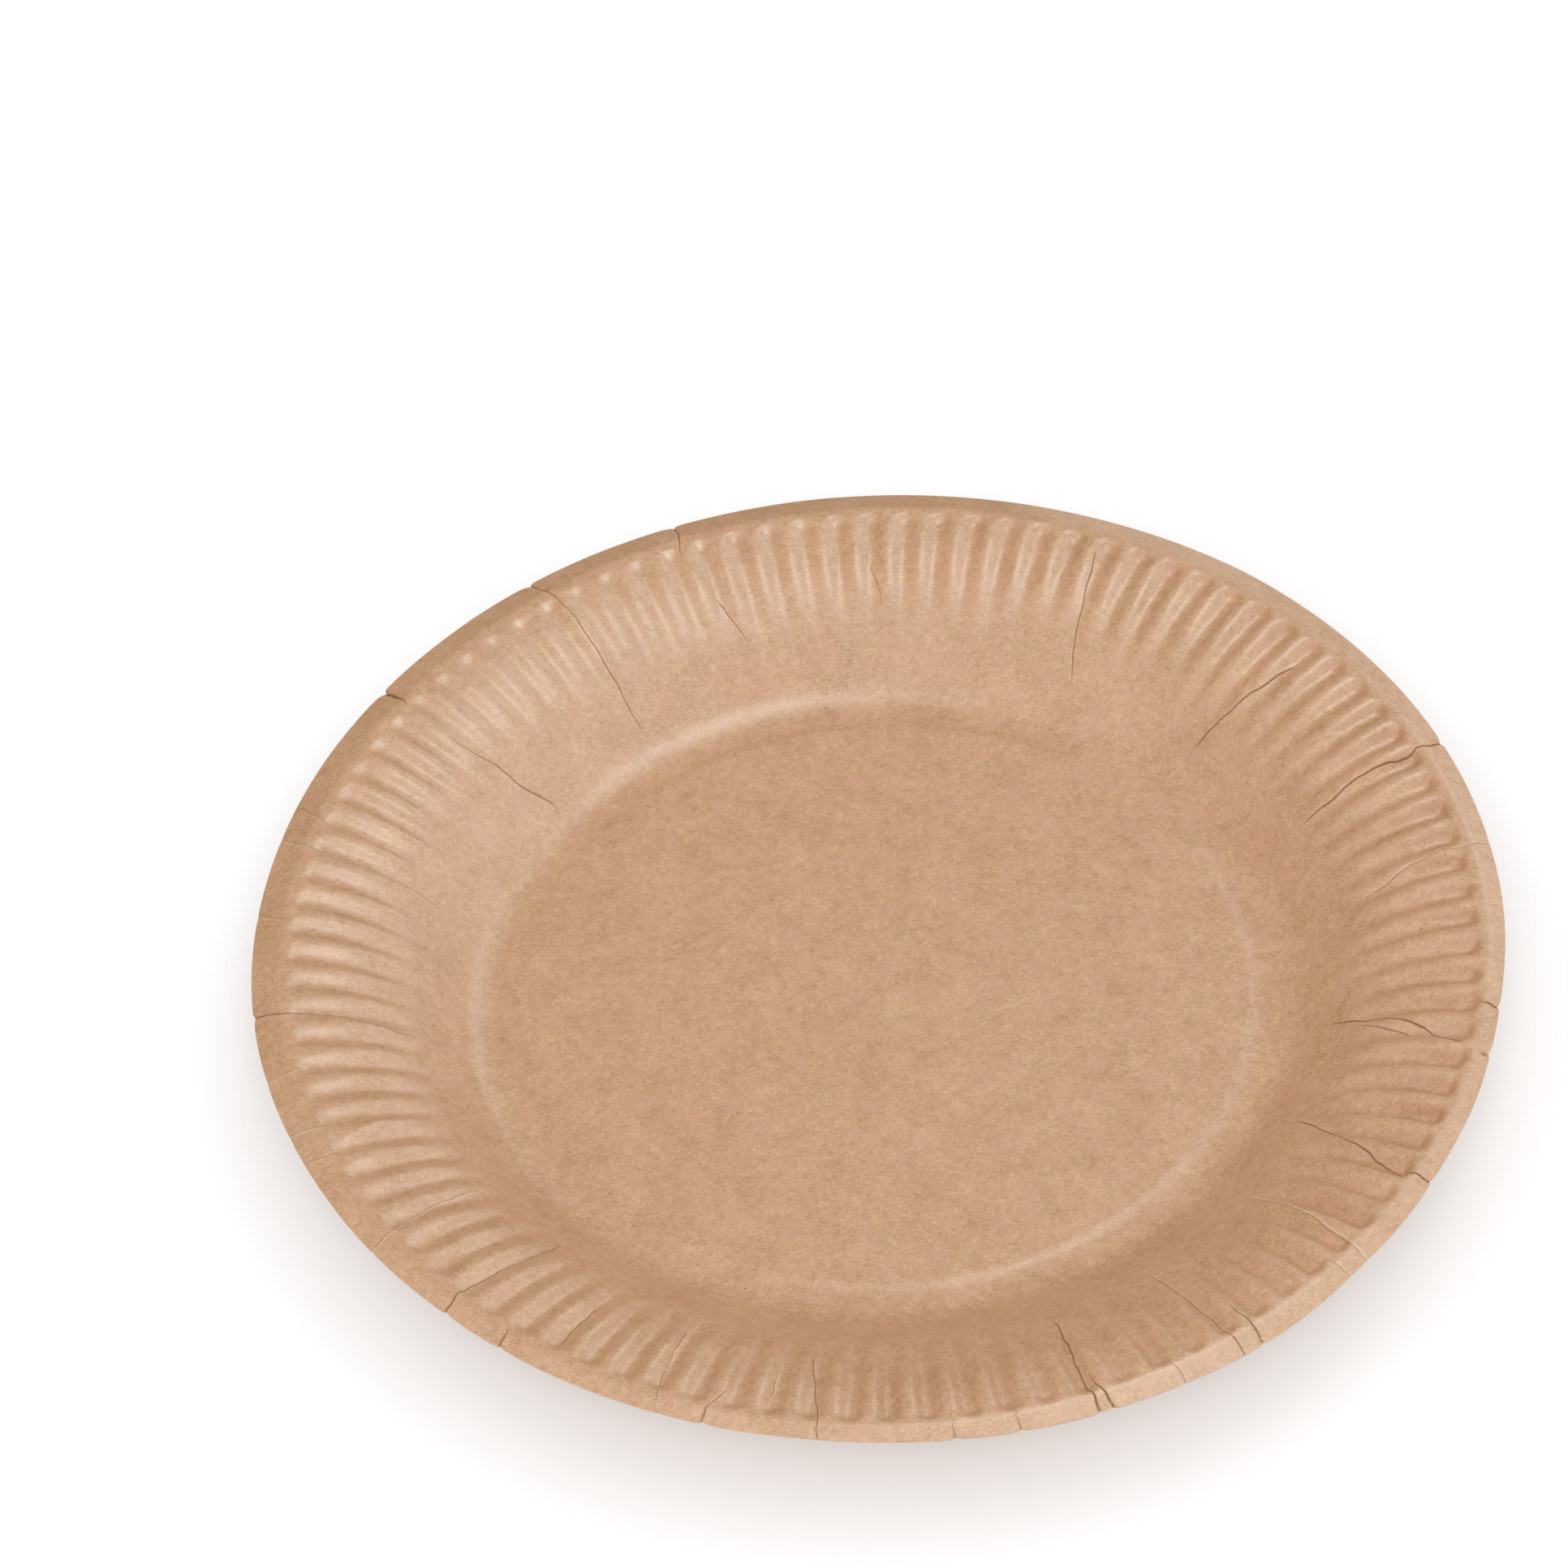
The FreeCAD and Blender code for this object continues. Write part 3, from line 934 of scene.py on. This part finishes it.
    def rings(self) -> tuple[Array, Array, Array]:
        """The rings in order: up the eating side from near the middle, round the edge, and back.

        Returns:
            Radii, the share of the meridians that each ring uses (1, 2 or 4 for all, half or a
            quarter of them), and the face of each ring.
        """
        centre = [6, 14, 22, 30, 38, 46, 53, 59, 64]
        corner = [
            65.3, 66, 66.5, 67, 67.5, 68, 68.5, 69, 69.7, 70.75, 71.6, 72.6, 73.7, 74.8, 75.9, 76.9,
            78.2, 80, 81.8, 82.6,
        ]
        fluted = [
            83.1, 83.7, 84.3, 85.1, 86.1, 87.2, 88.4, 89.7, 91.1, 92.6, 94.2, 95.8, 97.4, 99, 100.6,
            102.2, 103.7, 105, 105.9, 106.6, 107.1, 107.5, 107.9, 108.3, 108.7, 109.1, 109.6, 110.4,
            111.6, 112.8, 114, 115,
        ]
        beneath = [
            113.8, 112, 110, 109, 108.3, 107.6, 106.9, 106, 104.5, 102.5, 100.3, 98, 95.5, 93, 90.5,
            88.5, 86.8, 85, 83, 80, 76.9, 74.9, 72.8, 70.75, 69.7, 69.1, 68.5, 67.9, 67.4,
        ]
        inward = [64, 54, 43, 32, 21, 10]
        radii = centre + corner + fluted + [115] + beneath + inward
        share = (
            [4] * len(centre) + [2] * len(corner) + [1] * (len(fluted) + 1)
            + [2] * len(beneath) + [4] * len(inward)
        )
        top = len(centre) + len(corner) + len(fluted)
        face = [Face.EATING.value] * top + [Face.UNDER.value] * (len(radii) - top)
        return np.array(radii, float), np.array(share), np.array(face)

    def weave(self, share: Array, spokes: int) -> tuple[Array, Array]:
        """Faces between the rings: squares between equal rings, three triangles where one halves.

        Args:
            share: the share of the meridians that each ring uses.
            spokes: how many meridians there are.

        Returns:
            Indices of the quads and of the triangles. Index 0 is the middle of the eating side and
            the last index the middle of the under side.
        """
        counts = spokes // share
        first = 1 + np.concatenate([[0], np.cumsum(counts)[:-1]])
        quads, tris = [], []
        for ring in range(len(share) - 1):
            inner, outer = counts[ring], counts[ring + 1]
            low, high = first[ring], first[ring + 1]
            few = np.arange(min(inner, outer))
            after = (few + 1) % len(few)
            a, b, c = 2 * few, 2 * few + 1, (2 * few + 2) % max(inner, outer)
            if inner == outer:
                quads.append(np.stack([low + few, high + few, high + after, low + after], axis=1))
            elif inner < outer:
                tris.append(np.stack([low + few, high + a, high + b], axis=1))
                tris.append(np.stack([low + few, high + b, low + after], axis=1))
                tris.append(np.stack([low + after, high + b, high + c], axis=1))
            else:
                tris.append(np.stack([low + a, high + few, low + b], axis=1))
                tris.append(np.stack([low + b, high + few, high + after], axis=1))
                tris.append(np.stack([low + b, high + after, low + c], axis=1))
        for middle, ring, way in ((0, 0, 1), (first[-1] + counts[-1], -1, -1)):
            rim = first[ring] + np.arange(counts[ring])
            pair = [rim, np.roll(rim, -1)][::way]
            tris.append(np.stack([np.full(len(rim), middle), *pair], axis=1))
        return np.concatenate(quads), np.concatenate(tris)

    def build(self) -> None:
        """Builds and dresses the plate, at the origin."""
        radii, share, face = self.rings()
        azimuth = self.azimuths(radii)
        radius = self.edge.trim(np.broadcast_to(radii[:, None], azimuth.shape), azimuth)
        top = self.points(radius, azimuth, Face.EATING)
        under = self.points(radius, azimuth, Face.UNDER)
        places = np.where((face == Face.EATING.value)[:, None, None], top, under)
        # Painted shade along the creases, with the darker board of open cracks, and painted
        # highlights at the flutes' ends and on the creases' raised edges, kept on the points.
        crack_and_shade = np.zeros_like(radius)
        pale = self.flutes.glints(radius, azimuth)
        for crease in self.creases:
            dark_here, pale_here = crease.shade(radius, azimuth)
            crack_and_shade = np.maximum(crack_and_shade, dark_here)
            pale = np.maximum(pale, pale_here)
        centre = np.array([[0.0, 0.0, self.section.board + self.section.step_height]])
        beneath = np.array([[0.0, 0.0, self.section.step_height]])
        verts = np.concatenate([centre, *thinned(places, share), beneath]) * MM
        quads, tris = self.weave(share, azimuth.shape[1])
        mesh = write_mesh("plate_board", verts, quads, tris)
        for name, shade in (("crack_and_shade", crack_and_shade), ("pale_highlight", pale)):
            layer = mesh.attributes.new(name, "FLOAT", "POINT")
            values = np.concatenate([[0], *thinned(shade, share), [0]])
            layer.data.foreach_set("value", values.astype(np.float32))
        mesh.set_sharp_from_angle(angle=math.radians(self.sharp_angle))
        mesh.materials.append(self.finish.material())
        piece = put("plate_board", mesh)
        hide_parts("plate")
        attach(piece, "root")
        count = 2 * len(quads) + len(tris)
        log.info("plate: %d meridians, %d triangles", azimuth.shape[1], count)


def write_mesh(name: str, verts: Array, quads: Array, tris: Array) -> bpy.types.Mesh:
    """Writes whole arrays into a smooth mesh.

    Args:
        name: the mesh's name.
        verts: positions in metres.
        quads: four indices a row.
        tris: three indices a row.

    Returns:
        The mesh.
    """
    mesh = bpy.data.meshes.new(name)
    mesh.vertices.add(len(verts))
    mesh.vertices.foreach_set("co", verts.astype(np.float32).ravel())
    corners = np.concatenate([quads.ravel(), tris.ravel()]).astype(np.int32)
    totals = np.concatenate([np.full(len(quads), 4), np.full(len(tris), 3)]).astype(np.int32)
    starts = np.concatenate([[0], np.cumsum(totals)[:-1]]).astype(np.int32)
    mesh.loops.add(len(corners))
    mesh.loops.foreach_set("vertex_index", corners)
    mesh.polygons.add(len(totals))
    mesh.polygons.foreach_set("loop_start", starts)
    mesh.polygons.foreach_set("loop_total", totals)
    mesh.polygons.foreach_set("use_smooth", np.ones(len(totals), bool))
    mesh.update(calc_edges=True)
    mesh.validate()
    return mesh


def thinned(grid: Array, share: Array) -> list[Array]:
    """The rows of rings by meridians, each with only the meridians that its ring uses."""
    return [row[::every] for row, every in zip(grid, share)]


def put(name: str, data: bpy.types.ID) -> bpy.types.Object:
    """Adds an object with that data to the scene."""
    thing = bpy.data.objects.new(name, data)
    bpy.context.scene.collection.objects.link(thing)
    return thing


@dataclass(frozen=True)
class Lamp:
    """A soft box that looks at the plate."""

    name: str
    azimuth: float
    elevation: float
    distance: float
    width: float
    power: float
    shine: Shine

    def place(self) -> None:
        """Adds the lamp, turned towards the plate."""
        data = bpy.data.lights.new(self.name, "AREA")
        data.shape = "DISK"
        data.size = self.width
        data.energy = self.power
        data.color = self.shine.value
        lamp = put(self.name, data)
        lamp.visible_diffuse = self.shine is Shine.MATT
        lamp.visible_glossy = self.shine is Shine.GLOSS
        turn, rise = math.radians(self.azimuth), math.radians(self.elevation)
        flat = math.cos(rise)
        way = Vector((math.cos(turn) * flat, math.sin(turn) * flat, math.sin(rise)))
        lamp.location = way * self.distance
        lamp.rotation_euler = way.to_track_quat("Z", "Y").to_euler()


@dataclass
class Studio:
    """A white floor, soft lamps and a pale surround."""

    floor_size: float = 12.0
    floor_drop: float = 0.0001
    floor_grey: float = 0.8
    floor_glow: float = 0.30
    fill: float = 0.775
    card_arc: Pair = (76.0, 166.0)
    card_steps: int = 24
    card_colour: Triple = (0.04, 0.03, 0.025)
    card_rings: Pairs = ((0.118, 0.0006), (0.30, 0.0006), (0.34, 0.18))
    lamps: tuple[Lamp, ...] = (
        Lamp("soft_box", 265.0, 46.0, 1.8, 1.2, 8.0, Shine.MATT),
        Lamp("fill_box", 60.0, 52.0, 1.8, 1.2, 2.5, Shine.MATT),
        Lamp("sheen_box", 347.0, 56.0, 1.5, 3.2, 43.0, Shine.GLOSS),
        Lamp("zenith_box", 5.0, 75.0, 1.5, 0.8, 12.0, Shine.GLOSS),
        Lamp("spark_box", 50.0, 31.0, 1.5, 0.6, 4.0, Shine.GLOSS),
        Lamp("low_box", 5.0, 33.0, 1.5, 0.8, 4.0, Shine.GLOSS),
        Lamp("side_box", 212.0, 50.0, 1.6, 1.8, 15.0, Shine.GLOSS),
    )

    def build(self) -> None:
        """Adds the floor, the lamps and the world."""
        self.floor()
        self.card()
        for lamp in self.lamps:
            lamp.place()
        self.surround()
        log.info("studio: floor, %d lamps and surround", len(self.lamps))

    def floor(self) -> None:
        """Adds a large matt sheet that takes the plate's shadow and is white where none falls."""
        half = self.floor_size / 2
        verts = np.array([[-half, -half, 0], [half, -half, 0], [half, half, 0], [-half, half, 0]])
        verts[:, 2] = -self.floor_drop
        mesh = write_mesh("floor", verts, np.array([[0, 1, 2, 3]]), np.zeros((0, 3), int))
        mat = bpy.data.materials.new("white_floor")
        kit = blank(mat)
        matt = kit.add("ShaderNodeBsdfDiffuse")
        kit.feed((self.floor_grey,) * 3, matt.inputs["Color"])
        glow = kit.add("ShaderNodeEmission")
        kit.feed(kit.math("MULTIPLY", self.seen(kit), self.floor_glow), glow.inputs["Strength"])
        both = kit.add("ShaderNodeAddShader")
        kit.feed(matt.outputs["BSDF"], both.inputs[0])
        kit.feed(glow.outputs["Emission"], both.inputs[1])
        kit.feed(both.outputs["Shader"], kit.add("ShaderNodeOutputMaterial").inputs["Surface"])
        mesh.materials.append(mat)
        floor = put("floor", mesh)

    def card(self) -> None:
        """Adds a dark card bent up behind the plate, which only the sheen of the board shows.

        It lies round the far side as rings of an arc, each with its radius and height in metres.
        """
        turns = np.radians(np.linspace(*self.card_arc, self.card_steps))
        rings = np.array(self.card_rings)
        out = np.stack([np.cos(turns), np.sin(turns)], axis=-1)
        flat = out[None, :, :] * rings[:, 0][:, None, None]
        rise = np.broadcast_to(rings[:, 1][:, None, None], (len(rings), len(turns), 1))
        verts = np.concatenate([flat, rise], axis=-1).reshape(-1, 3)
        low = np.arange(len(turns) - 1)[None, :] + len(turns) * np.arange(len(rings) - 1)[:, None]
        low = low.ravel()
        quads = np.stack([low, low + 1, low + 1 + len(turns), low + len(turns)], axis=1)
        mesh = write_mesh("dark_card", verts, quads, np.zeros((0, 3), int))
        mat = bpy.data.materials.new("dark_card")
        mat.use_nodes = True
        matt = mat.node_tree.nodes["Principled BSDF"]
        matt.inputs["Base Color"].default_value = (*self.card_colour, 1.0)
        matt.inputs["Roughness"].default_value = 0.9
        mesh.materials.append(mat)
        card = put("dark_card", mesh)
        card.visible_camera = False
        card.visible_diffuse = False
        card.visible_shadow = False

    def seen(self, kit: Nodes) -> Socket:
        """1 for rays that show the background itself, in the view or mirrored, and 0 for light."""
        path = kit.add("ShaderNodeLightPath")
        direct = kit.math("MAXIMUM", path.outputs["Is Camera Ray"], path.outputs["Is Glossy Ray"])
        return kit.math("MAXIMUM", direct, path.outputs["Is Transmission Ray"])

    def surround(self) -> None:
        """Sets the world: a plain fill for light, white where it is seen."""
        world = bpy.data.worlds.new("surround")
        bpy.context.scene.world = world
        kit = blank(world)
        back = kit.add("ShaderNodeBackground")
        kit.feed((1.0, 1.0, 1.0), back.inputs["Color"])
        strength = kit.math("MULTIPLY_ADD", self.seen(kit), 1.0 - self.fill, self.fill)
        kit.feed(strength, back.inputs["Strength"])
        kit.feed(back.outputs["Background"], kit.add("ShaderNodeOutputWorld").inputs["Surface"])


@dataclass(frozen=True)
class Viewpoint:
    """The photograph's camera, fitted to the rim, the step and the flutes."""

    place: Triple = (-0.01568, -0.56969, 0.67338)
    elevation: float = 47.199
    roll: float = -3.979
    turn: float = -0.853
    lens: float = 110.27
    sensor: float = 36.0
    nearest: float = 0.01

    def build(self) -> None:
        """Adds the camera and makes it the scene's own.

        The view direction falls by the elevation, the frame is rolled about it, and the whole is
        turned about the plate's axis, so that the flutes stand where the photograph has them.
        """
        fall, roll = math.radians(self.elevation), math.radians(self.roll)
        ahead = Vector((0.0, math.cos(fall), -math.sin(fall)))
        level = Vector((1.0, 0.0, 0.0))
        upright = level.cross(ahead)
        right = level * math.cos(roll) + upright * math.sin(roll)
        up = upright * math.cos(roll) - level * math.sin(roll)
        axes = Matrix((right, up, -ahead)).transposed().to_4x4()
        turned = Matrix.Rotation(math.radians(self.turn), 4, "Z")
        data = bpy.data.cameras.new("viewpoint")
        data.sensor_width = self.sensor
        data.sensor_fit = "HORIZONTAL"
        data.lens = self.lens
        data.clip_start = self.nearest
        camera = put("viewpoint", data)
        camera.matrix_world = turned @ (Matrix.Translation(self.place) @ axes)
        bpy.context.scene.camera = camera


def main() -> None:
    logging.basicConfig(level=logging.INFO, format="%(name)s %(message)s")
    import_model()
    Plate().build()
    Studio().build()
    Viewpoint().build()
    bpy.context.scene.view_settings.view_transform = "Standard"
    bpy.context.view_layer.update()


if __name__ == "__main__":
    main()
